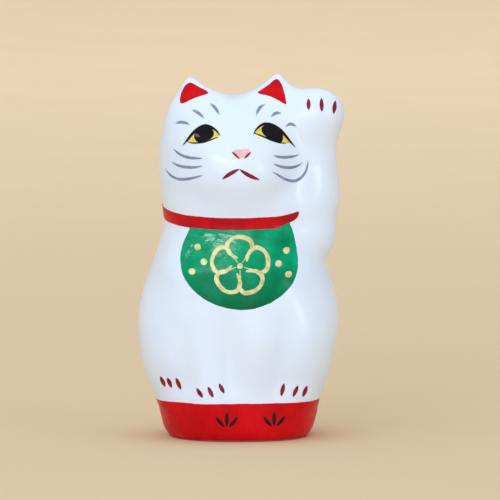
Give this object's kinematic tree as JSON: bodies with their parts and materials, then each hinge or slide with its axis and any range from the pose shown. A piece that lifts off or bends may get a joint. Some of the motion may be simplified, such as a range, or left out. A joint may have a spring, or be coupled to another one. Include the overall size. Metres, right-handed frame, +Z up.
{
  "type": "beckoning cat figurine",
  "caption": "Seated hollow papier-mache cat with its left paw raised beside its head, weighted in the base, with a painted face, collar, bib and base band.",
  "frame": {"origin": "centre of the foot, on the face that it stands on, in the joint plane of its front and rear shells", "axes": "+Z up, the cat faces -Y, and its raised left paw is at +X"},
  "size_m": [0.0626, 0.0545, 0.1102],
  "materials": {
    "moulded_paper": "matte",
    "pasted_paper": "matte",
    "card": "matte",
    "clay": "matte",
    "white_ground": "satin",
    "red_paint": "satin",
    "green_paint": "gloss",
    "gold_paint": "satin",
    "yellow_paint": "satin",
    "black_paint": "satin",
    "slate_paint": "satin",
    "pink_paint": "satin",
    "dark_red_paint": "satin"
  },
  "bodies": {
    "root": {"paper_shell_front": "moulded_paper", "paper_shell_rear": "moulded_paper", "joint_strip": "pasted_paper", "foot_paper": "pasted_paper", "base_board": "card", "clay_weight": "clay", "ground_coat": "white_ground", "base_band": "red_paint", "collar": "red_paint", "ear_red_right": "red_paint", "ear_red_left": "red_paint", "bib": "green_paint", "bib_dots": "gold_paint", "bib_blossom": "gold_paint", "iris_right": "yellow_paint", "iris_left": "yellow_paint", "pupil_right": "black_paint", "pupil_left": "black_paint", "eyelid_right": "black_paint", "eyelid_left": "black_paint", "base_sprigs": "black_paint", "whiskers_right": "slate_paint", "whiskers_left": "slate_paint", "brow_right": "slate_paint", "brow_left": "slate_paint", "nose": "pink_paint", "nostrils": "dark_red_paint", "mouth": "dark_red_paint", "claws_raised_paw": "dark_red_paint", "claws_right_hind_paw": "dark_red_paint", "claws_right_fore_paw": "dark_red_paint", "claws_left_hind_paw": "dark_red_paint"}
  },
  "joints": []
}
